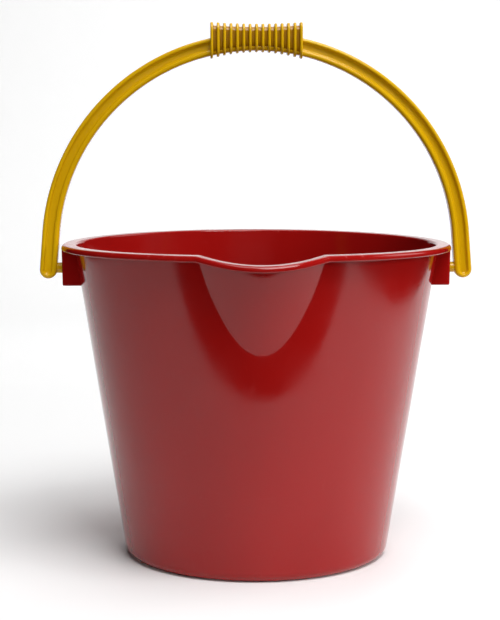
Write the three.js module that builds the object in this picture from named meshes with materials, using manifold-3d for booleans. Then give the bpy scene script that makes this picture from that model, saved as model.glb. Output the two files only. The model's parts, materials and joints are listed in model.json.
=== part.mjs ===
// Child's sand bucket with a pouring spout and a swinging, ribbed carrying handle.
// Millimetres, +Z up. The origin is the centre of the flat underside, the spout points along -Y,
// and the handle swings about an axis parallel to X that runs through both pivot ears.
import * as THREE from 'three';
import { mergeVertices } from 'three/addons/utils/BufferGeometryUtils.js';
import Module from 'manifold-3d';

const wasm = await Module();
wasm.setup();

// ---- driving dimensions -------------------------------------------------------------------
const BUCKET_HEIGHT = 162;
const RIM_RADIUS = 100;
const WALL_FOOT_RADIUS = 67.75;    // outer radius of the wall cone, carried down to the ground
const WALL_TOP_RADIUS = 93.6;      // outer radius of the wall cone, carried up to the rim's height
const WALL_THICKNESS = 2;
const FLOOR_THICKNESS = 2.6;
const FLOOR_CORNER_RADIUS = 5;     // inside, between floor and wall
const FOOT_EDGE_RADIUS = 5.5;      // outside, between underside and wall

const LIP_HEIGHT = 2.9;            // the rim's turned-down outer edge
const LIP_THICKNESS = 1.6;
const FLANGE_THICKNESS = 1.8;
const RIM_EDGE_RADIUS = 1.5;
const RIM_INNER_RADIUS = 93.5;     // where the flat top of the rim turns down into the bucket
const RIM_SAG = 0.75;              // how much lower the rim is at the ears than at front and back

const SPOUT_HALF_WIDTH = 29.6;     // along the rim, from the spout's centre to its corner
const SPOUT_DEPTH = 44.7;          // from the spout's corners down to its toe on the wall
const SPOUT_REACH = 7.5;           // how far the middle of the spout stands out of the wall cone
const SPOUT_DROP = 3.8;            // how far the rim dips at the middle of the spout
const SPOUT_DROP_POWER = 1.25;

const EAR_HALF_WIDTH = 8;
const EAR_FACE = 99.7;             // distance of the outer face from the bucket's axis
const EAR_BOTTOM = 139.8;
const EAR_THICKNESS = 2;
const EAR_EDGE_RADIUS = 1.2;

const PIVOT_HEIGHT = 148.5;
const PIN_RADIUS = 2.7;
const PIN_HOLE_RADIUS = 3;
const PIN_HEAD_RADIUS = 3.7;
const PIN_TIP_RADIUS = 2.4;
const PIN_TIP_X = 94.2;

const BOW_CENTRE_HEIGHT = 157.8;
const BOW_RADIUS = 105.7;          // of the bow's centre line
const BOW_HALF_WIDTH = 4.35;
const BOW_HALF_DEPTH = 4;
const BOW_EDGE_RADIUS = 0.9;
const LIMB_SPLAY = THREE.MathUtils.degToRad(4.6);
const LIMB_TAIL = 5.4;             // from the pivot axis to the tip of the limb
const CHANNEL_INNER = 1.7;         // edges of the recessed channel, from the bow's centre line
const CHANNEL_OUTER = 2.4;
const CHANNEL_DEPTH = 1.5;

const RIB_COUNT = 15;
const RIB_PITCH = 3.23;
const RIB_THICKNESS = 1.6;
const RIB_HALF_DEPTH = 7.5;
const RIB_CORNER_RADIUS = 3.6;
const GRIP_TOP = 272.5;            // top of the middle rib
const GRIP_TOP_RISE = 0.8;         // how much higher the end ribs are
const GRIP_BOTTOM = 258.3;         // bottom of the middle rib
const GRIP_BOTTOM_FALL = 3.2;      // how much lower the end ribs reach
const GROOVE_DEPTH = 1.4;          // between the ribs

const GAP = 0.3;                   // kept between solids that meet

const SPOUT_RINGS = 6;
const ROUND_SEGMENTS = 88;
const PIN_SEGMENTS = 20;
const BOW_SEGMENTS = 30;
const NOSE_SEGMENTS = 8;

// ---- materials ----------------------------------------------------------------------------
const redPlastic = new THREE.MeshStandardMaterial({ color: 0x96211f, roughness: 0.28, metalness: 0 });
const yellowPlastic = new THREE.MeshStandardMaterial({ color: 0xc99a12, roughness: 0.34, metalness: 0 });

// ---- solids: three.js geometry in and out of the joining and cutting library ---------------
function toSolid(geometry) {
  const bare = geometry.clone();
  bare.deleteAttribute('normal');
  bare.deleteAttribute('uv');
  const merged = mergeVertices(bare, 1e-4);
  const mesh = new wasm.Mesh({
    numProp: 3,
    vertProperties: new Float32Array(merged.attributes.position.array),
    triVerts: new Uint32Array(merged.index.array),
  });
  return new wasm.Manifold(mesh);
}

function toGeometry(solid) {
  const mesh = solid.getMesh();
  const geometry = new THREE.BufferGeometry();
  geometry.setAttribute('position', new THREE.BufferAttribute(mesh.vertProperties, 3));
  geometry.setIndex(new THREE.BufferAttribute(mesh.triVerts, 1));
  geometry.computeVertexNormals();
  return geometry;
}

// A closed profile of [radius, height] pairs turned about Z.
function turned(profile, segments) {
  const points = profile.map(([radius, height]) => new THREE.Vector2(radius, height));
  return new THREE.LatheGeometry(points, segments).rotateX(Math.PI / 2);
}

// Points on a quarter-like arc, both ends included.
function arc(centreR, centreZ, radius, startDeg, endDeg, steps) {
  const points = [];
  for (let i = 0; i <= steps; i += 1) {
    const angle = THREE.MathUtils.degToRad(startDeg + ((endDeg - startDeg) * i) / steps);
    points.push([centreR + radius * Math.cos(angle), centreZ + radius * Math.sin(angle)]);
  }
  return points;
}

// ---- bucket: wall, floor, foot, rim and spout, one moulding --------------------------------
function wallRadius(z) {
  return WALL_FOOT_RADIUS + ((WALL_TOP_RADIUS - WALL_FOOT_RADIUS) * z) / BUCKET_HEIGHT;
}

function shellProfile() {
  const flangeUnder = BUCKET_HEIGHT - FLANGE_THICKNESS;
  const wallTop = flangeUnder - 1.2;
  const lipBottom = BUCKET_HEIGHT - LIP_HEIGHT;
  const lean = Math.atan((WALL_TOP_RADIUS - WALL_FOOT_RADIUS) / BUCKET_HEIGHT);
  const leanDeg = THREE.MathUtils.radToDeg(lean);
  const footR = wallRadius(FOOT_EDGE_RADIUS) - FOOT_EDGE_RADIUS / Math.cos(lean);
  const innerBottom = FLOOR_THICKNESS + FLOOR_CORNER_RADIUS;
  const spoutToe = BUCKET_HEIGHT - LIP_HEIGHT - SPOUT_DEPTH;
  const outerWall = [];
  const innerWall = [[wallRadius(innerBottom) - WALL_THICKNESS, innerBottom]];
  for (let i = 0; i <= SPOUT_RINGS; i += 1) {
    const outerZ = spoutToe + ((wallTop - spoutToe) * i) / SPOUT_RINGS;
    outerWall.push([wallRadius(outerZ), outerZ]);
    const innerZ = spoutToe + ((BUCKET_HEIGHT - 4 - spoutToe) * i) / SPOUT_RINGS;
    innerWall.push([wallRadius(innerZ) - WALL_THICKNESS, innerZ]);
  }
  const floorCornerR = wallRadius(innerBottom) - WALL_THICKNESS - FLOOR_CORNER_RADIUS;
  const edgeR = RIM_RADIUS - RIM_EDGE_RADIUS;
  const edgeZ = BUCKET_HEIGHT - RIM_EDGE_RADIUS;
  return [
    [0, 0],
    ...arc(footR, FOOT_EDGE_RADIUS, FOOT_EDGE_RADIUS, -90, -leanDeg, 4),
    ...outerWall,
    [wallRadius(flangeUnder) + 2, flangeUnder],
    [RIM_RADIUS - LIP_THICKNESS, flangeUnder],
    [RIM_RADIUS - LIP_THICKNESS, lipBottom],
    [RIM_RADIUS - 0.5, lipBottom],
    [RIM_RADIUS, lipBottom + 0.5],
    ...arc(edgeR, edgeZ, RIM_EDGE_RADIUS, 0, 90, 2),
    [RIM_INNER_RADIUS, BUCKET_HEIGHT],
    [RIM_INNER_RADIUS - 0.5, BUCKET_HEIGHT - 0.6],
    ...innerWall.reverse(),
    ...arc(floorCornerR, innerBottom, FLOOR_CORNER_RADIUS, -30, -90, 2),
    [0, FLOOR_THICKNESS],
  ];
}

// The spout is a shallow scoop that meets the wall cone along a parabola: at height z it is a parabola
// in plan, and along its middle it is a straight line, leaning out more than the wall.
function spoutFullness(across, z) {
  const cornerHeight = BUCKET_HEIGHT - LIP_HEIGHT;
  const climb = (Math.min(z, cornerHeight) - (cornerHeight - SPOUT_DEPTH)) / SPOUT_DEPTH;
  return Math.max(0, climb - (across / SPOUT_HALF_WIDTH) ** 2);
}

// Pushes the wall out over the spout, and lowers the rim there and, a little, towards the ears.
function shapeRimAndSpout(geometry) {
  const position = geometry.attributes.position;
  const point = new THREE.Vector3();
  for (let i = 0; i < position.count; i += 1) {
    point.fromBufferAttribute(position, i);
    const turn = Math.atan2(point.x, -point.y);
    const across = turn * wallRadius(point.z);
    const radius = Math.hypot(point.x, point.y) + SPOUT_REACH * spoutFullness(across, point.z);
    const dip = SPOUT_DROP * spoutFullness(across, BUCKET_HEIGHT) ** SPOUT_DROP_POWER;
    const sag = RIM_SAG * Math.sin(turn) ** 2;
    const rimShare = THREE.MathUtils.smoothstep(point.z, BUCKET_HEIGHT - 30, BUCKET_HEIGHT - 4);
    const z = point.z - (dip + sag) * rimShare;
    position.setXYZ(i, radius * Math.sin(turn), -radius * Math.cos(turn), z);
  }
  return geometry;
}

function bucketShell() {
  return toGeometry(toSolid(shapeRimAndSpout(turned(shellProfile(), ROUND_SEGMENTS))));
}

// ---- pivot ears: boxes under the rim, open below and towards the wall -----------------------
function earOutline() {
  const inner = EAR_FACE - EAR_THICKNESS;
  const wallSide = WALL_FOOT_RADIUS;
  const outline = new THREE.Shape();
  outline.moveTo(wallSide, -EAR_HALF_WIDTH);
  const r = EAR_EDGE_RADIUS;
  outline.absarc(EAR_FACE - r, -EAR_HALF_WIDTH + r, r, -Math.PI / 2, 0, false);
  outline.absarc(EAR_FACE - r, EAR_HALF_WIDTH - r, r, 0, Math.PI / 2, false);
  outline.lineTo(wallSide, EAR_HALF_WIDTH);
  outline.lineTo(wallSide, EAR_HALF_WIDTH - EAR_THICKNESS);
  outline.lineTo(inner, EAR_HALF_WIDTH - EAR_THICKNESS);
  outline.lineTo(inner, -EAR_HALF_WIDTH + EAR_THICKNESS);
  outline.lineTo(wallSide, -EAR_HALF_WIDTH + EAR_THICKNESS);
  outline.closePath();
  return outline;
}

function ear(side) {
  const top = BUCKET_HEIGHT - RIM_SAG - LIP_HEIGHT - GAP;
  const box = new THREE.ExtrudeGeometry(earOutline(), {
    depth: top - EAR_BOTTOM, bevelEnabled: false, curveSegments: 4,
  }).translate(0, 0, EAR_BOTTOM);
  const bucket = turned([
    [0, -1],
    [wallRadius(-1) + GAP, -1],
    [wallRadius(BUCKET_HEIGHT) + GAP, BUCKET_HEIGHT],
    [0, BUCKET_HEIGHT],
  ], ROUND_SEGMENTS);
  const hole = new THREE.CylinderGeometry(PIN_HOLE_RADIUS, PIN_HOLE_RADIUS, 4 * EAR_THICKNESS, PIN_SEGMENTS)
    .rotateZ(Math.PI / 2)
    .translate(EAR_FACE, 0, PIVOT_HEIGHT);
  const solid = toSolid(box).subtract(toSolid(bucket)).subtract(toSolid(hole));
  return toGeometry(side < 0 ? solid.rotate([0, 0, 180]) : solid);
}

// ---- handle bow: a half circle with two slightly splayed limbs, channelled on both faces ----
// The outline's two edges lie `inner` and `outer` away from the centre line, and each limb ends in a
// round nose that reaches `tail` below the pivot axis.
function bowOutline(inner, outer, tail) {
  const noseRadius = (inner + outer) / 2;
  const shift = (outer - inner) / 2;
  const along = BOW_CENTRE_HEIGHT + BOW_RADIUS * Math.sin(LIMB_SPLAY) - (PIVOT_HEIGHT - tail + noseRadius);
  const limb = along / Math.cos(LIMB_SPLAY);
  const foot = new THREE.Vector2(
    BOW_RADIUS * Math.cos(LIMB_SPLAY) + limb * Math.sin(LIMB_SPLAY) + shift * Math.cos(LIMB_SPLAY),
    PIVOT_HEIGHT - tail + noseRadius + shift * Math.sin(LIMB_SPLAY),
  );
  const outline = new THREE.Shape();
  const nose = (x, start) => {
    for (let i = 0; i <= NOSE_SEGMENTS; i += 1) {
      const angle = start + (Math.PI * i) / NOSE_SEGMENTS;
      outline.lineTo(x + noseRadius * Math.cos(angle), foot.y + noseRadius * Math.sin(angle));
    }
  };
  outline.absarc(0, BOW_CENTRE_HEIGHT, BOW_RADIUS + outer, LIMB_SPLAY, Math.PI - LIMB_SPLAY, false);
  nose(-foot.x, Math.PI - LIMB_SPLAY);
  outline.absarc(0, BOW_CENTRE_HEIGHT, BOW_RADIUS - inner, Math.PI - LIMB_SPLAY, LIMB_SPLAY, true);
  nose(foot.x, Math.PI + LIMB_SPLAY);
  outline.closePath();
  return outline;
}

// An outline drawn in X and Z, given a thickness in Y that is centred on y = middle.
function slab(outline, depth, middle, edge) {
  const geometry = new THREE.ExtrudeGeometry(outline, {
    depth: depth - 2 * edge,
    bevelEnabled: edge > 0,
    bevelThickness: edge,
    bevelSize: edge,
    bevelOffset: -edge,
    bevelSegments: 1,
    curveSegments: BOW_SEGMENTS,
  });
  return geometry.translate(0, 0, -depth / 2 + edge).rotateX(Math.PI / 2).translate(0, middle, 0);
}

function handleBow() {
  const outline = bowOutline(BOW_HALF_WIDTH, BOW_HALF_WIDTH, LIMB_TAIL);
  const bow = slab(outline, 2 * BOW_HALF_DEPTH, 0, BOW_EDGE_RADIUS);
  const channelTail = LIMB_TAIL - (BOW_HALF_WIDTH - CHANNEL_OUTER);
  const channel = bowOutline(CHANNEL_INNER, CHANNEL_OUTER, channelTail);
  const gripHalfLength = ((RIB_COUNT - 1) * RIB_PITCH) / 2;
  const inGrip = new THREE.BoxGeometry(2 * gripHalfLength, 20, 40).translate(0, 0, GRIP_BOTTOM);
  let solid = toSolid(bow);
  for (const face of [-1, 1]) {
    const cutter = slab(channel, 2 * CHANNEL_DEPTH, face * BOW_HALF_DEPTH, 0);
    solid = solid.subtract(toSolid(cutter).subtract(toSolid(inGrip)));
  }
  return toGeometry(solid);
}

// ---- grip: a core with ribs round it, closed over the middle of the bow ---------------------
// How far along the grip's curve x is: 0 at the middle, 1 at the end ribs.
function gripCurve(x) {
  const end = ((RIB_COUNT - 1) * RIB_PITCH) / 2;
  return (x / end) ** 2;
}

function roundedRectangle(halfWidth, bottom, top, radius) {
  const shape = new THREE.Shape();
  shape.absarc(halfWidth - radius, top - radius, radius, 0, Math.PI / 2, false);
  shape.absarc(-halfWidth + radius, top - radius, radius, Math.PI / 2, Math.PI, false);
  shape.absarc(-halfWidth + radius, bottom + radius, radius, Math.PI, 1.5 * Math.PI, false);
  shape.absarc(halfWidth - radius, bottom + radius, radius, 1.5 * Math.PI, 2 * Math.PI, false);
  shape.closePath();
  return shape;
}

// A rounded rectangle in Y and Z, with a length in X that is centred on x = middle.
function plate(shape, length, middle) {
  const geometry = new THREE.ExtrudeGeometry(shape, { depth: length, bevelEnabled: false, curveSegments: 2 });
  return geometry.translate(0, 0, -length / 2).rotateX(Math.PI / 2).rotateZ(Math.PI / 2)
    .translate(middle, 0, 0);
}

function grip() {
  const pieces = [];
  for (let i = 0; i < RIB_COUNT; i += 1) {
    const x = (i - (RIB_COUNT - 1) / 2) * RIB_PITCH;
    const top = GRIP_TOP + GRIP_TOP_RISE * gripCurve(x);
    const bottom = GRIP_BOTTOM - GRIP_BOTTOM_FALL * gripCurve(x);
    const rib = roundedRectangle(RIB_HALF_DEPTH, bottom, top, RIB_CORNER_RADIUS);
    pieces.push(toSolid(plate(rib, RIB_THICKNESS, x)));
    if (i < RIB_COUNT - 1) {
      const middle = x + RIB_PITCH / 2;
      const core = roundedRectangle(
        RIB_HALF_DEPTH - GROOVE_DEPTH,
        GRIP_BOTTOM - GRIP_BOTTOM_FALL * gripCurve(middle) + GROOVE_DEPTH,
        GRIP_TOP + GRIP_TOP_RISE * gripCurve(middle) - GROOVE_DEPTH,
        RIB_CORNER_RADIUS - GROOVE_DEPTH / 2,
      );
      pieces.push(toSolid(plate(core, RIB_PITCH, middle)));
    }
  }
  const roomOutline = bowOutline(BOW_HALF_WIDTH + GAP, BOW_HALF_WIDTH + GAP, LIMB_TAIL);
  const room = slab(roomOutline, 2 * (BOW_HALF_DEPTH + GAP), 0, 0);
  const body = pieces.reduce((joined, piece) => joined.add(piece));
  return toGeometry(body.subtract(toSolid(room)));
}

// ---- pivot pins: a shaft and a snap head, turned about X -------------------------------------
function pivotPin(side) {
  const limbInnerFace = BOW_RADIUS * Math.cos(LIMB_SPLAY) - BOW_HALF_WIDTH
    + (BOW_CENTRE_HEIGHT + BOW_RADIUS * Math.sin(LIMB_SPLAY) - PIVOT_HEIGHT) * Math.tan(LIMB_SPLAY);
  const root = limbInnerFace - 0.6;
  const headFace = EAR_FACE - EAR_THICKNESS - GAP;
  const profile = [
    [0, PIN_TIP_X],
    [PIN_TIP_RADIUS, PIN_TIP_X],
    [PIN_HEAD_RADIUS, headFace - 1.2],
    [PIN_HEAD_RADIUS, headFace],
    [PIN_RADIUS, headFace],
    [PIN_RADIUS, root],
    [0, root],
  ];
  const geometry = turned(profile, PIN_SEGMENTS).rotateY((side * Math.PI) / 2);
  return geometry.translate(0, 0, PIVOT_HEIGHT);
}

// ---- assembly ---------------------------------------------------------------------------------
function part(name, geometry, material) {
  const mesh = new THREE.Mesh(geometry, material);
  mesh.name = name;
  return mesh;
}

const bucket = new THREE.Group();
bucket.add(part('bucket_shell', bucketShell(), redPlastic));
bucket.add(part('left_ear', ear(-1), redPlastic));
bucket.add(part('right_ear', ear(1), redPlastic));

const handle = new THREE.Group();
handle.add(part('handle_bow', handleBow(), yellowPlastic));
handle.add(part('grip', grip(), yellowPlastic));
handle.add(part('left_pivot_pin', pivotPin(-1), yellowPlastic));
handle.add(part('right_pivot_pin', pivotPin(1), yellowPlastic));

const sandBucket = new THREE.Group();
sandBucket.add(bucket, handle);

export default sandBucket;
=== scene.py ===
import json
import math

import bmesh
import bpy
from mathutils import Matrix, Vector


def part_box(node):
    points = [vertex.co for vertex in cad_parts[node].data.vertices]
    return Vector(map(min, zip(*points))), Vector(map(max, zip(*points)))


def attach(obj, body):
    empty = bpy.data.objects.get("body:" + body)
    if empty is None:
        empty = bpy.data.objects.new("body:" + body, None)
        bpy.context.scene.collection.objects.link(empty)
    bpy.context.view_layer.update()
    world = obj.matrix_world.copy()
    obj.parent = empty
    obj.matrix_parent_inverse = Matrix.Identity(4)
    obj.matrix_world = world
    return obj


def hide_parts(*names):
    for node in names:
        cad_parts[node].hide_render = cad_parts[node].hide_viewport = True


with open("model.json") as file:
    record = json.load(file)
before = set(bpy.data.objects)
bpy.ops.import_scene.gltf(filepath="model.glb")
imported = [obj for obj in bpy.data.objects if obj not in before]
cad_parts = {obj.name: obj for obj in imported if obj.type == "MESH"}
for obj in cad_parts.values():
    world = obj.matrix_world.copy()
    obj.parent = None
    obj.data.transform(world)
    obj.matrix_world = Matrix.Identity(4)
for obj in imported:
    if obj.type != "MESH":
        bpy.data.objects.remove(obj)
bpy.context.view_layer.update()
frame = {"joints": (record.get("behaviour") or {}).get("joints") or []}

MM = 0.001

# ---- sizes that come from the CAD model, in millimetres ----


def box_mm(node):
    low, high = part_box(node)
    return low / MM, high / MM


shell_low, shell_high = box_mm("bucket_shell")
ear_low, ear_high = box_mm("right_ear")
bow_low, bow_high = box_mm("handle_bow")
grip_low, grip_high = box_mm("grip")
pin_low, pin_high = box_mm("right_pivot_pin")
swing = next(joint for joint in frame["joints"] if joint["name"] == "handle_swing")

HEIGHT = shell_high.z
RIM_RADIUS = shell_high.x
SPOUT_REACH = -shell_low.y - RIM_RADIUS
PIVOT_HEIGHT = swing["pos_m"][2] / MM
EAR_FACE = ear_high.x
EAR_BOTTOM = ear_low.z
EAR_HALF_WIDTH = ear_high.y
BOW_HALF_DEPTH = bow_high.y
GRIP_HALF_LENGTH = grip_high.x
GRIP_HALF_DEPTH = grip_high.y

# ---- sizes of the moulding that the boxes don't give, in millimetres ----
WALL_FOOT_RADIUS = 67.75
WALL_TOP_RADIUS = 93.6
WALL_THICKNESS = 2.0
FLOOR_THICKNESS = 2.6
FLOOR_CORNER_RADIUS = 5.0
FOOT_EDGE_RADIUS = 5.5
FOOT_RING_WIDTH = 3.2
BASE_RECESS = 0.5
LIP_HEIGHT = 2.9
LIP_THICKNESS = 1.6
FLANGE_THICKNESS = 1.8
RIM_EDGE_RADIUS = 2.1
RIM_SAG = 0.75
SPOUT_HALF_WIDTH = 29.6
SPOUT_DEPTH = 44.7
SPOUT_DROP = 3.8
SPOUT_DROP_POWER = 1.25
SPOUT_CREASE_BLEND = 0.028
RIM_CHANGE_START = 30
RIM_CHANGE_END = 4
RIM_INNER_RADIUS = 92.4
RIM_INNER_EDGE_RADIUS = 1.3
LIP_ROOT_RADIUS = 2.2
GATE_MARK_RADIUS = 5.6
GATE_MARK_DEPTH = 0.5
GATE_STUB_RADIUS = 1.4
EAR_THICKNESS = 2.0
EAR_SINK = 1.2
EAR_EDGE_RADIUS = 1.2
EAR_INNER_EDGE_RADIUS = 0.6
EAR_MOUTH_RADIUS = 0.5
EAR_DRAFT = 0.4
EAR_LEVELS = 8
PIN_HOLE_RADIUS = 3.0
PIN_RADIUS = 2.7
PIN_TIP_RADIUS = 2.4
PIN_HEAD_GAP = 0.3
PIN_HEAD_LENGTH = 1.2
PIN_SINK = 1.2
BOW_HALF_WIDTH = 4.35
BOW_CENTRE_HEIGHT = 157.8
BOW_RADIUS = bow_high.z - BOW_CENTRE_HEIGHT - BOW_HALF_WIDTH
LIMB_SPLAY = math.radians(4.6)
LIMB_TAIL = PIVOT_HEIGHT - bow_low.z
CHANNEL_HALF_WIDTH = 2.15
CHANNEL_SHIFT = 0.25
CHANNEL_DEPTH = 2.0
CHANNEL_LIP = 0.3
CHANNEL_SQUARENESS = 7
PARTING_LINE_PROUD = 0.05
RIB_COUNT = 15
RIB_THICKNESS = 1.5
GRIP_TOP_RISE = 0.8
GRIP_BOTTOM_FALL = 3.2
GRIP_TOP_EDGE_RADIUS = 3.6
GRIP_BOTTOM_EDGE_RADIUS = 4.6
GROOVE_DEPTH = 1.5
GROOVE_FACE_DEPTH = 2.8


# ---- mesh helpers ----
def rounded_path(corners):
    """Points along a path whose corners (a, b, radius, steps) are rounded."""
    path = []
    for k, (a, b, radius, steps) in enumerate(corners):
        if radius == 0 or k in (0, len(corners) - 1):
            path.append(Vector((a, b)))
            continue
        point = Vector((a, b))
        back = (Vector(corners[k - 1][:2]) - point).normalized()
        ahead = (Vector(corners[k + 1][:2]) - point).normalized()
        half = back.angle(ahead) / 2
        centre = point + (back + ahead).normalized() * radius / math.sin(half)
        start = point + back * radius / math.tan(half) - centre
        turn = back.angle_signed(ahead)
        sweep = math.copysign(math.pi - abs(turn), turn)
        for i in range(steps + 1):
            angle = sweep * i / steps
            path.append(centre + Matrix.Rotation(angle, 2) @ start)
    return path


def filled_path(path, step_at, support):
    """Adds a point close to each end of every long straight run, and points along it."""
    filled = [path[0]]
    for first, last in zip(path, path[1:]):
        run = last - first
        length = run.length
        if length > 4 * support:
            marks = [support, length - support]
            step = step_at(first, last)
            count = int((length - 2 * support) // step)
            marks += [support + (length - 2 * support) * i / (count + 1) for i in range(1, count + 1)]
            filled += [first + run * mark / length for mark in sorted(marks)]
        filled.append(last)
    return filled


def full_turn(steps):
    return [math.tau * i / steps for i in range(steps)]


def loft(rings, start=None, end=None):
    """Quads between closed rings of equal length; each end closes on a point if one is given."""
    size = len(rings[0])
    points = [point for ring in rings for point in ring]
    faces = []
    for k in range(len(rings) - 1):
        for i in range(size):
            j = (i + 1) % size
            faces.append((k * size + i, k * size + j, (k + 1) * size + j, (k + 1) * size + i))
    if start is not None:
        points.append(start)
        centre = len(points) - 1
        faces += [(centre, (i + 1) % size, i) for i in range(size)]
    if end is not None:
        points.append(end)
        centre = len(points) - 1
        base = (len(rings) - 1) * size
        faces += [(centre, base + i, base + (i + 1) % size) for i in range(size)]
    return points, faces


def new_mesh(name, points, faces):
    """A mesh from points in millimetres, with its faces turned outwards."""
    mesh = bpy.data.meshes.new(name)
    mesh.from_pydata([Vector(p) * MM for p in points], [], faces)
    work = bmesh.new()
    work.from_mesh(mesh)
    bmesh.ops.recalc_face_normals(work, faces=work.faces)
    work.to_mesh(mesh)
    work.free()
    return mesh


def smooth_by_angle(mesh, degrees):
    """Smooth shading with an edge kept sharp where the surface turns by more than the angle."""
    mesh.shade_smooth()
    work = bmesh.new()
    work.from_mesh(mesh)
    for edge in work.edges:
        edge.smooth = len(edge.link_faces) == 2 and edge.calc_face_angle() < math.radians(degrees)
    work.to_mesh(mesh)
    work.free()


def add_object(name, data):
    made = bpy.data.objects.new(name, data)
    bpy.context.scene.collection.objects.link(made)
    return made


def add_piece(name, mesh, material, body, nodes):
    smooth_by_angle(mesh, 35)
    mesh.materials.append(material)
    piece = add_object(name, mesh)
    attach(piece, body)
    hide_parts(*nodes)


# ---- bucket shell ----
SPOUT_CORNER_HEIGHT = HEIGHT - LIP_HEIGHT
SPOUT_TOE = SPOUT_CORNER_HEIGHT - SPOUT_DEPTH


def wall_radius(z):
    return WALL_FOOT_RADIUS + (WALL_TOP_RADIUS - WALL_FOOT_RADIUS) * z / HEIGHT


def spout_climb(z):
    return (min(z, SPOUT_CORNER_HEIGHT) - SPOUT_TOE) / SPOUT_DEPTH


def spout_fullness(across, z):
    """How far the scoop stands out at a place, 0 on the wall cone to 1, with a rounded crease."""
    rise = spout_climb(z) - (across / SPOUT_HALF_WIDTH) ** 2
    return (rise + math.hypot(rise, SPOUT_CREASE_BLEND)) / 2


def smoothstep(value, low, high):
    share = min(1.0, max(0.0, (value - low) / (high - low)))
    return share * share * (3 - 2 * share)


def shell_columns(z):
    """Angles of the mesh columns at a height, drawn together along the scoop's crease."""
    least_crease = 3.0
    inside_count, outside_count = 22, 132
    crease_marks = (-0.9, -0.4, -0.15, 0.15, 0.4, 0.9)
    crease = max(least_crease, SPOUT_HALF_WIDTH * math.sqrt(max(0.0, spout_climb(z))))
    half = [(crease + crease_marks[0]) * i / inside_count for i in range(inside_count + 1)]
    half += [crease + mark for mark in crease_marks[1:]]
    half = [across / wall_radius(z) for across in half]
    last = half[-1]
    half += [last + (math.pi - last) * i / outside_count for i in range(1, outside_count + 1)]
    return [-angle for angle in reversed(half[1:-1])] + half


def shell_point(radius, z, turn):
    """A point of the wall cone, moved out by the scoop and down by the rim's dip and sag."""
    across = turn * wall_radius(z)
    if radius > WALL_FOOT_RADIUS:
        share = smoothstep(z, HEIGHT - RIM_CHANGE_START, HEIGHT - RIM_CHANGE_END)
        dip = SPOUT_DROP * spout_fullness(across, HEIGHT) ** SPOUT_DROP_POWER
        radius += SPOUT_REACH * spout_fullness(across, z)
        z -= (dip + RIM_SAG * math.sin(turn) ** 2) * share
    return Vector((radius * math.sin(turn), -radius * math.cos(turn), z))


def shell_profile():
    """The cross-section, from the gate mark under the base round the rim to the inside floor."""
    gate_top = BASE_RECESS + GATE_MARK_DEPTH
    flange_under = HEIGHT - FLANGE_THICKNESS
    lip_inner = RIM_RADIUS - LIP_THICKNESS
    ring_inner = wall_radius(0) - FOOT_EDGE_RADIUS - FOOT_RING_WIDTH
    inner_foot = wall_radius(FLOOR_THICKNESS) - WALL_THICKNESS
    inner_toe = wall_radius(SPOUT_TOE) - WALL_THICKNESS
    return rounded_path([
        (1.0, 0.25, 0, 0),
        (GATE_STUB_RADIUS, 0.25, 0.3, 3),
        (GATE_STUB_RADIUS + 0.5, gate_top, 0.25, 3),
        (GATE_MARK_RADIUS, gate_top, 0.4, 3),
        (GATE_MARK_RADIUS + 1.0, BASE_RECESS, 0.4, 3),
        (ring_inner - BASE_RECESS, BASE_RECESS, 0.6, 4),
        (ring_inner, 0, 0.5, 4),
        (wall_radius(0), 0, FOOT_EDGE_RADIUS, 12),
        (wall_radius(SPOUT_TOE), SPOUT_TOE, 0, 0),
        (wall_radius(flange_under), flange_under, LIP_ROOT_RADIUS, 5),
        (lip_inner, flange_under, 0.5, 3),
        (lip_inner, HEIGHT - LIP_HEIGHT, 0.3, 3),
        (RIM_RADIUS, HEIGHT - LIP_HEIGHT, 0.6, 5),
        (RIM_RADIUS, HEIGHT, RIM_EDGE_RADIUS, 8),
        (RIM_INNER_RADIUS, HEIGHT, RIM_INNER_EDGE_RADIUS, 6),
        (inner_toe, SPOUT_TOE, 0, 0),
        (inner_foot, FLOOR_THICKNESS, FLOOR_CORNER_RADIUS, 8),
        (6.0, FLOOR_THICKNESS, 0, 0),
        (1.0, FLOOR_THICKNESS, 0, 0),
    ])


def shell_step(first, last):
    """Spacing of the mesh rows: close together up the scoop, wide apart elsewhere."""
    on_scoop = max(first.y, last.y) > SPOUT_TOE + 0.01 and abs(first.y - last.y) > 5
    return 1.15 if on_scoop else 8.0


def bucket_shell_mesh():
    profile = filled_path(shell_profile(), shell_step, 0.3)
    rings = []
    for radius, z in profile:
        rings.append([shell_point(radius, z, turn) for turn in shell_columns(z)])
    start = Vector((0, 0, profile[0].y))
    end = Vector((0, 0, profile[-1].y))
    return new_mesh("bucket_shell_fine", *loft(rings, start, end))


def ejector_marks_mesh():
    """Four low round pads that the mould's ejector pins leave on the inside of the floor."""
    around, radius, proud, steps = 32.0, 4.0, 0.12, 40
    profile = rounded_path([
        (radius, FLOOR_THICKNESS - 0.6, 0, 0),
        (radius, FLOOR_THICKNESS + proud, 0.1, 3),
        (radius - 0.5, FLOOR_THICKNESS + proud, 0.1, 2),
        (radius - 0.7, FLOOR_THICKNESS + proud / 2, 0, 0),
    ])
    points, faces = [], []
    for k in range(4):
        angle = math.radians(45 + 90 * k)
        middle = Vector((around * math.cos(angle), around * math.sin(angle), 0))
        rings = [
            [middle + Vector((r * math.cos(a), r * math.sin(a), z)) for a in full_turn(steps)]
            for r, z in profile
        ]
        start = middle + Vector((0, 0, profile[0].y))
        end = middle + Vector((0, 0, profile[-1].y))
        pad_points, pad_faces = loft(rings, start, end)
        faces += [tuple(i + len(points) for i in face) for face in pad_faces]
        points += pad_points
    return new_mesh("ejector_marks_fine", points, faces)


# ---- pivot ears: boxes under the rim, open below, their side walls sunk into the bucket's wall ----
EDGE_STEPS = 5
MOUTH_STEPS = 4


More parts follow.
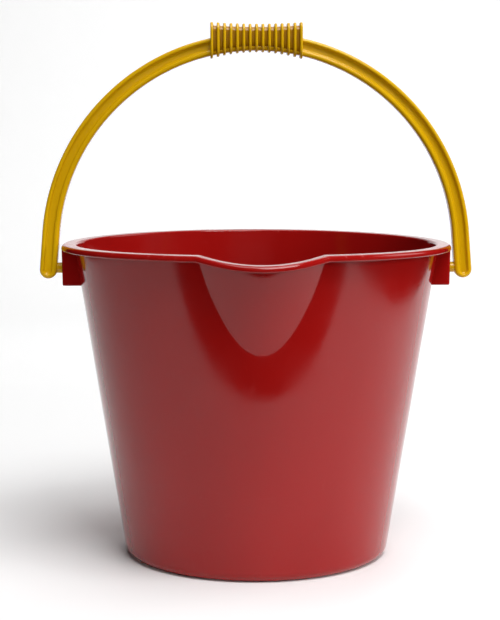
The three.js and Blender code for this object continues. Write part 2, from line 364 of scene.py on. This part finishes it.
def ear_ring(inset, z):
    """A level U-shaped outline of an ear: its outside, then its inside on the way back."""
    draft = EAR_DRAFT * (HEIGHT - z) / (HEIGHT - EAR_BOTTOM)
    wall_side = wall_radius(z) - EAR_SINK + max(0.0, z - (HEIGHT - 5))
    inner_half_width = EAR_HALF_WIDTH - EAR_THICKNESS + inset
    inner_face = EAR_FACE - EAR_THICKNESS + inset - draft
    outline = []
    for edge_radius, half_width, face, reverse in (
        (EAR_EDGE_RADIUS, EAR_HALF_WIDTH - inset, EAR_FACE - inset - draft, False),
        (EAR_INNER_EDGE_RADIUS, inner_half_width, inner_face, True),
    ):
        side = [Vector((wall_side, -half_width))]
        for sign, first in ((-1, -90), (1, 0)):
            centre = Vector((face - edge_radius, sign * (half_width - edge_radius)))
            for i in range(EDGE_STEPS + 1):
                angle = math.radians(first + 90 / EDGE_STEPS * i)
                side.append(centre + edge_radius * Vector((math.cos(angle), math.sin(angle))))
        side.append(Vector((wall_side, half_width)))
        outline += list(reversed(side)) if reverse else side
    return [Vector((p.x, p.y, z)) for p in outline]


def ear_mesh(sign):
    edge = EAR_MOUTH_RADIUS
    top = HEIGHT - RIM_SAG - FLANGE_THICKNESS + 0.3
    rings = []
    for i in range(MOUTH_STEPS + 1):
        angle = math.radians(90 - 90 / MOUTH_STEPS * i)
        rings.append(ear_ring(edge * (1 - math.cos(angle)), EAR_BOTTOM + edge * (1 - math.sin(angle))))
    straight = EAR_BOTTOM + edge + 0.3
    for i in range(EAR_LEVELS + 1):
        rings.append(ear_ring(0, straight + (top - straight) * i / EAR_LEVELS))
    points, faces = loft(rings)
    size = len(rings[0])
    half = size // 2
    last = (len(rings) - 1) * size
    for base in (0, last):
        for i in range(half - 1):
            faces.append((base + i, base + i + 1, base + size - 2 - i, base + size - 1 - i))
    if sign < 0:
        points = [Vector((-p.x, p.y, p.z)) for p in points]
    return new_mesh("ear_fine", points, faces)


def turned_ring(x, radius, steps):
    """A ring of points about the pins' axis."""
    return [
        Vector((x, radius * math.cos(a), PIVOT_HEIGHT + radius * math.sin(a)))
        for a in full_turn(steps)
    ]


def cut_hole(mesh, centre_x):
    """Cuts the pin's round hole through an ear's outer face."""
    steps = 64
    rings = [turned_ring(centre_x + x, PIN_HOLE_RADIUS, steps) for x in (-EAR_THICKNESS, EAR_THICKNESS)]
    drill_points, drill_faces = loft(rings)
    drill_faces += [tuple(reversed(range(steps))), tuple(range(steps, 2 * steps))]
    drill = add_object("drill", new_mesh("drill", drill_points, drill_faces))
    target = add_object("target", mesh)
    cut = target.modifiers.new("hole", "BOOLEAN")
    cut.operation = "DIFFERENCE"
    cut.solver = "EXACT"
    cut.object = drill
    depsgraph = bpy.context.evaluated_depsgraph_get()
    result = bpy.data.meshes.new_from_object(target.evaluated_get(depsgraph))
    bpy.data.objects.remove(target)
    bpy.data.objects.remove(drill)
    return result


# ---- handle bow: a half circle with splayed limbs and round noses, channelled on both faces ----
ARC_STEPS = 150
NOSE_STEPS = 18


def bow_outline(inner, outer, tail, y):
    """A closed outline at depth y, whose edges lie `inner` and `outer` away from the bow's centre
    line and whose round noses end `tail` below the pivot."""
    nose = (inner + outer) / 2
    shift = (outer - inner) / 2
    foot_z = PIVOT_HEIGHT - tail + nose
    cos_splay, sin_splay = math.cos(LIMB_SPLAY), math.sin(LIMB_SPLAY)
    limb = (BOW_CENTRE_HEIGHT + BOW_RADIUS * sin_splay - foot_z) / cos_splay
    foot_x = BOW_RADIUS * cos_splay + limb * sin_splay + shift * cos_splay
    foot_z += shift * sin_splay
    points = []

    def arc(radius, first, last):
        for i in range(ARC_STEPS + 1):
            angle = first + (last - first) * i / ARC_STEPS
            points.append((radius * math.cos(angle), BOW_CENTRE_HEIGHT + radius * math.sin(angle)))

    def round_nose(x, first):
        for i in range(NOSE_STEPS + 1):
            angle = first + math.pi * i / NOSE_STEPS
            points.append((x + nose * math.cos(angle), foot_z + nose * math.sin(angle)))

    arc(BOW_RADIUS + outer, LIMB_SPLAY, math.pi - LIMB_SPLAY)
    round_nose(-foot_x, math.pi - LIMB_SPLAY)
    arc(BOW_RADIUS - inner, math.pi - LIMB_SPLAY, LIMB_SPLAY)
    round_nose(foot_x, math.pi + LIMB_SPLAY)
    return [Vector((x, y, z)) for x, z in points]


def bow_section():
    """Half of the bow's cross-section, from its parting line over the round bead to the channel's
    floor, as rows (inner, outer, tail, y) for bow_outline."""
    inner = CHANNEL_HALF_WIDTH - CHANNEL_SHIFT
    outer = CHANNEL_HALF_WIDTH + CHANNEL_SHIFT
    bead_inner = BOW_HALF_WIDTH - inner
    bead_outer = BOW_HALF_WIDTH - outer
    section = [
        (BOW_HALF_WIDTH + proud, BOW_HALF_WIDTH + proud, LIMB_TAIL + proud, y)
        for proud, y in ((PARTING_LINE_PROUD, 0.0), (0.0, 0.14), (0.0, 0.5), (0.0, 1.6))
    ]
    for share, drop in (
        (0.0, 1.35), (0.02, 1.05), (0.08, 0.7), (0.18, 0.4), (0.32, 0.16), (0.48, 0.04),
        (0.62, 0.0), (0.76, 0.03), (0.88, 0.12), (0.96, 0.22),
    ):
        section.append((
            BOW_HALF_WIDTH - share * bead_inner,
            BOW_HALF_WIDTH - share * bead_outer,
            LIMB_TAIL - share * bead_outer,
            BOW_HALF_DEPTH - drop,
        ))
    for share in (1.0, 0.97, 0.94, 0.91, 0.87, 0.82, 0.74, 0.62, 0.45, 0.2):
        d = CHANNEL_HALF_WIDTH * (share - 1)
        tail = LIMB_TAIL - bead_outer + d
        fall = (CHANNEL_DEPTH - CHANNEL_LIP) * (1 - share ** CHANNEL_SQUARENESS)
        section.append((inner + d, outer + d, tail, BOW_HALF_DEPTH - CHANNEL_LIP - fall))
    return section


def bow_mesh():
    """The section's outlines joined face to face, with both channel floors filled by strips."""
    half = bow_section()
    rings = [bow_outline(i, o, t, -y) for i, o, t, y in reversed(half)]
    rings += [bow_outline(i, o, t, y) for i, o, t, y in half[1:]]
    points, faces = loft(rings)
    size = len(rings[0])
    arc_end = ARC_STEPS + 1
    for base in (0, (len(rings) - 1) * size):
        inner_last = base + 2 * arc_end + NOSE_STEPS
        for i in range(ARC_STEPS):
            faces.append((base + i, base + i + 1, inner_last - i - 1, inner_last - i))
        for first in (base + ARC_STEPS, base + size - NOSE_STEPS - 2):
            ring = [base + (first - base + i) % size for i in range(NOSE_STEPS + 3)]
            for i in range((NOSE_STEPS + 2) // 2):
                if i + 1 < len(ring) - 2 - i:
                    faces.append((ring[i], ring[i + 1], ring[-2 - i], ring[-1 - i]))
    return new_mesh("bow_fine", points, faces)


# ---- grip: one ribbed body closed over the middle of the bow ----
def grip_ring(x, inset):
    """The grip's rounded outline at a place along it; inset is how far it lies below the ribs."""
    end = GRIP_HALF_LENGTH - RIB_THICKNESS / 2
    curve = (x / end) ** 2
    top = grip_high.z - GRIP_TOP_RISE + GRIP_TOP_RISE * curve - inset
    bottom = grip_low.z + GRIP_BOTTOM_FALL - GRIP_BOTTOM_FALL * curve + inset
    depth = GRIP_HALF_DEPTH - inset * GROOVE_FACE_DEPTH / GROOVE_DEPTH
    steps = 8
    ring = []
    for y_sign, z_sign, first in ((1, 1, 0), (-1, 1, 90), (-1, -1, 180), (1, -1, 270)):
        radius = (GRIP_TOP_EDGE_RADIUS if z_sign > 0 else GRIP_BOTTOM_EDGE_RADIUS) - inset / 2
        centre_y = y_sign * (depth - radius)
        centre_z = top - radius if z_sign > 0 else bottom + radius
        for i in range(steps + 1):
            angle = math.radians(first + 90 * i / steps)
            y, z = centre_y + radius * math.cos(angle), centre_z + radius * math.sin(angle)
            ring.append(Vector((x, y, z)))
    return ring


def grip_mesh():
    """Ribs and grooves in rows (x, inset, shade share); the shade share is kept as a mesh attribute and
    is painted shade that darkens the grooves as though shadowed.
    """
    pitch = 2 * (GRIP_HALF_LENGTH - RIB_THICKNESS / 2) / (RIB_COUNT - 1)
    half = RIB_THICKNESS / 2
    rib_rows = ((-half, 0.6), (0.08 - half, 0.3), (0.25 - half, 0.09), (0.5 - half, 0.0))
    groove_rows = (
        (half + 0.03, 1.0), (half + 0.18, GROOVE_DEPTH),
        (pitch - half - 0.18, GROOVE_DEPTH), (pitch - half - 0.03, 1.0),
    )
    rows = []
    for k in range(RIB_COUNT):
        x = (k - (RIB_COUNT - 1) / 2) * pitch
        rows += [(x + offset, inset, 0.0) for offset, inset in rib_rows]
        rows += [(x - offset, inset, 0.0) for offset, inset in reversed(rib_rows)]
        if k < RIB_COUNT - 1:
            # the third value is the share of painted shade: groove floors darkened as though in shadow
            rows += [(x + offset, inset, inset / GROOVE_DEPTH) for offset, inset in groove_rows]
    rings = [grip_ring(x, inset) for x, inset, painted_groove_shade in rows]
    middle = (grip_low.z + grip_high.z) / 2
    start = Vector((-GRIP_HALF_LENGTH, 0, middle))
    end = Vector((GRIP_HALF_LENGTH, 0, middle))
    mesh = new_mesh("grip_fine", *loft(rings, start, end))
    painted_shade_values = [painted_groove_shade for x, inset, painted_groove_shade in rows for point in rings[0]] + [0.0, 0.0]
    mesh.attributes.new("painted_groove_shade", "FLOAT", "POINT").data.foreach_set("value", painted_shade_values)
    return mesh


# ---- pivot pins ----
def pin_mesh(sign):
    """A turned pin: its head inside the ear, its shank through the hole into the bow's limb."""
    head_face = EAR_FACE - EAR_THICKNESS - PIN_HEAD_GAP
    head_radius = pin_high.z - PIVOT_HEIGHT
    root = pin_high.x + PIN_SINK
    profile = rounded_path([
        (0.6, pin_low.x, 0, 0),
        (PIN_TIP_RADIUS, pin_low.x, 0.5, 4),
        (head_radius, head_face - PIN_HEAD_LENGTH, 0.4, 3),
        (head_radius, head_face, 0.25, 3),
        (PIN_RADIUS, head_face, 0.2, 2),
        (PIN_RADIUS, root, 0, 0),
    ])
    path = filled_path(profile, lambda first, last: 2.0, 0.15)
    rings = [turned_ring(sign * x, radius, 56) for radius, x in path]
    start = Vector((sign * pin_low.x, 0, PIVOT_HEIGHT))
    end = Vector((sign * root, 0, PIVOT_HEIGHT))
    return new_mesh("pin_fine", *loft(rings, start, end))


# ---- materials ----
PLASTIC_IOR = 1.43
FAINT_SHARE = 0.16
RUBBED_SHARE = 0.38
DULLING = 0.22


def node(tree, kind, **values):
    """A new node; each value goes to the input of that name, or else to the node's own setting."""
    made = tree.nodes.new(kind)
    for key, value in values.items():
        if key in made.inputs:
            made.inputs[key].default_value = value
        else:
            setattr(made, key, value)
    return made


def map_range(tree, source, low, high, to_low=0.0, to_high=1.0):
    made = node(tree, "ShaderNodeMapRange", interpolation_type="SMOOTHSTEP")
    for key, value in (("From Min", low), ("From Max", high), ("To Min", to_low), ("To Max", to_high)):
        made.inputs[key].default_value = value
    tree.links.new(source, made.inputs["Value"])
    return made.outputs["Result"]


def calculate(tree, operation, first, second):
    made = node(tree, "ShaderNodeMath", operation=operation)
    for socket, value in zip(made.inputs, (first, second)):
        if isinstance(value, float):
            socket.default_value = value
        else:
            tree.links.new(value, socket)
    return made.outputs[0]


def noise(tree, place, scale, detail, stretch=(1, 1, 1), turn=(0, 0, 0)):
    mapping = node(tree, "ShaderNodeMapping", Scale=stretch, Rotation=turn)
    made = node(tree, "ShaderNodeTexNoise", Scale=scale, Detail=detail, Roughness=0.5)
    tree.links.new(place.outputs["Object"], mapping.inputs["Vector"])
    tree.links.new(mapping.outputs["Vector"], made.inputs["Vector"])
    return made.outputs["Fac"]


def mixed_colour(tree, share, first, second):
    made = node(tree, "ShaderNodeMix", data_type="RGBA")
    tree.links.new(share, made.inputs[0])
    for socket, value in ((made.inputs[6], first), (made.inputs[7], second)):
        if isinstance(value, tuple):
            socket.default_value = (*value, 1)
        else:
            tree.links.new(value, socket)
    return made.outputs[2]


def bumped(tree, height, strength, distance, below=None):
    made = node(tree, "ShaderNodeBump", Strength=strength, Distance=distance)
    tree.links.new(height, made.inputs["Height"])
    if below is not None:
        tree.links.new(below, made.inputs["Normal"])
    return made.outputs["Normal"]


def object_place(tree):
    """Object coordinates, whole and split into X, Y and Z."""
    place = node(tree, "ShaderNodeTexCoord")
    parts = node(tree, "ShaderNodeSeparateXYZ")
    tree.links.new(place.outputs["Object"], parts.inputs[0])
    return place, parts


def moulded_plastic(name, colours, roughness, specular, patch_scale, worn_heights):
    """Glossy moulded plastic: flow marks, uneven gloss, fine grain, scuffs at the worn heights, and
    painted shade darkening grooves that carry the shade attribute.
    """
    colour, deep_colour, rubbed_colour, painted_shade_colour = colours
    material = bpy.data.materials.new(name)
    material.use_nodes = True
    tree = material.node_tree
    shader = tree.nodes["Principled BSDF"]
    shader.inputs["IOR"].default_value = PLASTIC_IOR
    shader.inputs["Specular IOR Level"].default_value = specular
    place, parts = object_place(tree)

    worn = None
    for full, none in worn_heights:
        zone = map_range(tree, parts.outputs["Z"], none * MM, full * MM)
        worn = zone if worn is None else calculate(tree, "MAXIMUM", worn, zone)
    hairs = noise(tree, place, 420.0, 3.0, stretch=(1, 1, 0.12), turn=(0.5, 0.9, 0.2))
    cross_hairs = noise(tree, place, 380.0, 3.0, stretch=(0.12, 1, 1), turn=(0.3, 0.4, 0.7))
    hairs = map_range(tree, hairs, 0.6, 0.72)
    cross_hairs = map_range(tree, cross_hairs, 0.61, 0.73)
    scuffs = calculate(tree, "MAXIMUM", hairs, cross_hairs)
    clumps = map_range(tree, noise(tree, place, 70.0, 2.0), 0.42, 0.62)
    faint = calculate(tree, "MULTIPLY", calculate(tree, "MULTIPLY", scuffs, clumps), FAINT_SHARE)
    rubbed = calculate(tree, "MAXIMUM", calculate(tree, "MULTIPLY", scuffs, worn), faint)

    flow = noise(tree, place, 26.0, 3.0, stretch=(1, 1, 0.3))
    base = mixed_colour(tree, map_range(tree, flow, 0.35, 0.6), deep_colour, colour)
    # painted shade: groove floors that carry the shade attribute are darkened towards the shade colour,
    # standing in for their shadow
    painted_groove_shade = node(tree, "ShaderNodeAttribute", attribute_name="painted_groove_shade")
    painted_shade_share = map_range(tree, painted_groove_shade.outputs["Fac"], 0.2, 1.0, 0.0, 0.9)
    base = mixed_colour(tree, painted_shade_share, base, painted_shade_colour)
    share = calculate(tree, "MULTIPLY", rubbed, RUBBED_SHARE)
    tree.links.new(mixed_colour(tree, share, base, rubbed_colour), shader.inputs["Base Color"])

    patches = noise(tree, place, 45.0 * patch_scale, 4.0)
    gloss = map_range(tree, patches, 0.3, 0.7, roughness - 0.025, roughness + 0.035)
    dulled = calculate(tree, "ADD", gloss, calculate(tree, "MULTIPLY", rubbed, DULLING))
    tree.links.new(dulled, shader.inputs["Roughness"])

    peel = bumped(tree, noise(tree, place, 140.0 * patch_scale, 1.0), 0.2, 0.06 * MM)
    grain = bumped(tree, noise(tree, place, 650.0, 1.0), 0.07, 0.02 * MM, peel)
    unrubbed = calculate(tree, "SUBTRACT", 1.0, rubbed)
    tree.links.new(bumped(tree, unrubbed, 0.35, 0.03 * MM, grain), shader.inputs["Normal"])
    return material


# each plastic's own colour, then where it flowed deeper, where it is rubbed pale, and the painted shade
# laid on groove floors
RED = ((0.29, 0.0052, 0.0044), (0.275, 0.0047, 0.0040), (0.36, 0.035, 0.031), (0.2, 0.0035, 0.003))
YELLOW = ((0.61, 0.355, 0.003), (0.585, 0.332, 0.0026), (0.66, 0.42, 0.04), (0.33, 0.15, 0.0015))
RED_WORN = ((0.0, 7.0), (HEIGHT - 0.4, HEIGHT - 2.4))
YELLOW_WORN = ((PIVOT_HEIGHT - LIMB_TAIL, PIVOT_HEIGHT + 2.0), (grip_high.z, grip_high.z - 5.0))
red_plastic = moulded_plastic("bucket_plastic", RED, 0.11, 0.5, 1.0, RED_WORN)
yellow_plastic = moulded_plastic("handle_plastic", YELLOW, 0.15, 0.5, 1.6, YELLOW_WORN)

# ---- pieces ----
add_piece("bucket_moulding", bucket_shell_mesh(), red_plastic, "bucket", ["bucket_shell"])
add_piece("ejector_marks", ejector_marks_mesh(), red_plastic, "bucket", ["bucket_shell"])
for side, label in ((-1, "left"), (1, "right")):
    ear = cut_hole(ear_mesh(side), side * (EAR_FACE - 1))
    add_piece(f"{label}_ear_moulding", ear, red_plastic, "bucket", [f"{label}_ear"])
    pin = pin_mesh(side)
    add_piece(f"{label}_pin_moulding", pin, yellow_plastic, "handle", [f"{label}_pivot_pin"])
add_piece("bow_moulding", bow_mesh(), yellow_plastic, "handle", ["handle_bow"])
add_piece("grip_moulding", grip_mesh(), yellow_plastic, "handle", ["grip"])

# ---- studio: the camera looks along the studio's +Y, and the bucket stands turned a little ----
STUDIO_TURN = Matrix.Rotation(math.radians(-1.5), 4, "Z")
PAPER_FRONT = -0.2585
PAPER_SKEW = 0.053
PAPER_BOW = 0.36
PAPER_LEFT = -0.66
PAPER_RIGHT = 0.482
PAPER_FLARE = 0.17
PAPER_BACK = 1.1
PAPER_SWEEP = 0.35
PAPER_TOP = 1.3
GLOW_START = 0.1
GLOW_END = 0.9
BACKDROP_GLOW = 0.22
LIGHT_TARGET = Vector((0, 0, 0.1))
PAPER_COLUMNS = 20
PAPER_ROWS = 24
SWEEP_ROWS = 16


def paper_point(across, along):
    """A point of the paper's flat part, for shares of its width and length."""
    right = PAPER_RIGHT + PAPER_FLARE * (PAPER_FRONT + (PAPER_BACK - PAPER_FRONT) * along)
    x = PAPER_LEFT + (right - PAPER_LEFT) * across
    front = PAPER_FRONT + PAPER_SKEW * x - PAPER_BOW * x * x
    return Vector((x, front + (PAPER_BACK - front) * along, 0))


def paper_sweep():
    """White paper that lies flat, sweeps up behind the bucket and glows a little towards the back."""
    size = PAPER_COLUMNS + 1
    rows = [
        [paper_point(i / PAPER_COLUMNS, k / PAPER_ROWS) for i in range(size)]
        for k in range(PAPER_ROWS + 1)
    ]
    last = rows[-1]
    for k in range(1, SWEEP_ROWS + 1):
        angle = math.radians(90 * k / SWEEP_ROWS)
        lift = Vector((0, PAPER_SWEEP * math.sin(angle), PAPER_SWEEP * (1 - math.cos(angle))))
        rows.append([point + lift for point in last])
    rows.append([point + Vector((0, PAPER_SWEEP, PAPER_TOP)) for point in last])
    points = [point for row in rows for point in row]
    faces = []
    for k in range(len(rows) - 1):
        for i in range(size - 1):
            faces.append((k * size + i, k * size + i + 1, (k + 1) * size + i + 1, (k + 1) * size + i))
    mesh = bpy.data.meshes.new("paper")
    mesh.from_pydata(points, [], faces)
    mesh.shade_smooth()
    material = bpy.data.materials.new("paper")
    material.use_nodes = True
    tree = material.node_tree
    shader = tree.nodes["Principled BSDF"]
    for key, value in (
        ("Base Color", (0.86, 0.86, 0.86, 1)), ("Roughness", 0.9), ("Specular IOR Level", 0.1),
        ("Emission Color", (1, 1, 1, 1)),
    ):
        shader.inputs[key].default_value = value
    parts = object_place(tree)[1]
    glow = map_range(tree, parts.outputs["Y"], GLOW_START, GLOW_END, 0.0, BACKDROP_GLOW)
    tree.links.new(glow, shader.inputs["Emission Strength"])
    mesh.materials.append(material)
    paper = add_object("paper", mesh)
    paper.matrix_world = STUDIO_TURN


def softbox(name, azimuth, elevation, distance, width, height, power, mirrored=True):
    """A rectangular light aimed at the bucket; azimuth 0 is the camera's side, 90 is its right.
    A light that isn't mirrored lights the plastic but doesn't show in its gloss."""
    a, e = math.radians(azimuth), math.radians(elevation)
    away = Vector((math.sin(a) * math.cos(e), -math.cos(a) * math.cos(e), math.sin(e)))
    away = STUDIO_TURN.to_3x3() @ away
    light = bpy.data.lights.new(name, "AREA")
    light.shape = "RECTANGLE"
    light.size = width
    light.size_y = height
    light.energy = power
    lamp = add_object(name, light)
    lamp.location = LIGHT_TARGET + away * distance
    lamp.rotation_mode = "QUATERNION"
    lamp.rotation_quaternion = away.to_track_quat("Z", "Y")
    lamp.visible_glossy = mirrored


def surroundings():
    """Dark for light and reflections, and as pale as the paper where the camera sees it."""
    world = bpy.data.worlds.new("studio")
    world.use_nodes = True
    tree = world.node_tree
    tree.nodes.clear()
    path = node(tree, "ShaderNodeLightPath")
    dark = node(tree, "ShaderNodeBackground", Color=(0.003, 0.003, 0.003, 1), Strength=1.0)
    pale = node(tree, "ShaderNodeBackground", Color=(0.985, 0.985, 0.985, 1), Strength=1.0)
    mix = node(tree, "ShaderNodeMixShader")
    out = node(tree, "ShaderNodeOutputWorld")
    tree.links.new(path.outputs["Is Camera Ray"], mix.inputs[0])
    tree.links.new(dark.outputs[0], mix.inputs[1])
    tree.links.new(pale.outputs[0], mix.inputs[2])
    tree.links.new(mix.outputs[0], out.inputs["Surface"])
    bpy.context.scene.world = world


paper_sweep()
surroundings()
softbox("key", 25, 54, 1.6, 0.8, 0.7, 17.8)
softbox("top", 10, 80, 1.5, 0.9, 0.9, 10.4)
softbox("side", 72, 16, 1.5, 0.7, 0.5, 9.3, mirrored=False)
softbox("side_back", 105, 34, 1.5, 0.8, 0.6, 3.6)
softbox("front", 4, 15, 1.7, 0.9, 0.6, 6.5, mirrored=False)
softbox("back", 175, 50, 1.6, 1.0, 0.6, 5.2)

CAMERA_PLACE = Vector((-0.0032, -0.8577, 0.22376))
CAMERA_PITCH = math.radians(-6.488)
CAMERA_LENS = 96.72
camera = add_object("camera", bpy.data.cameras.new("camera"))
camera.data.lens = CAMERA_LENS
camera.data.sensor_width = 36
camera.data.clip_start = 0.05
camera.data.clip_end = 20
camera_tilt = Matrix.Rotation(math.pi / 2 + CAMERA_PITCH, 4, "X")
camera.matrix_world = STUDIO_TURN @ Matrix.Translation(CAMERA_PLACE) @ camera_tilt
bpy.context.scene.camera = camera
bpy.context.scene.view_settings.view_transform = "Standard"
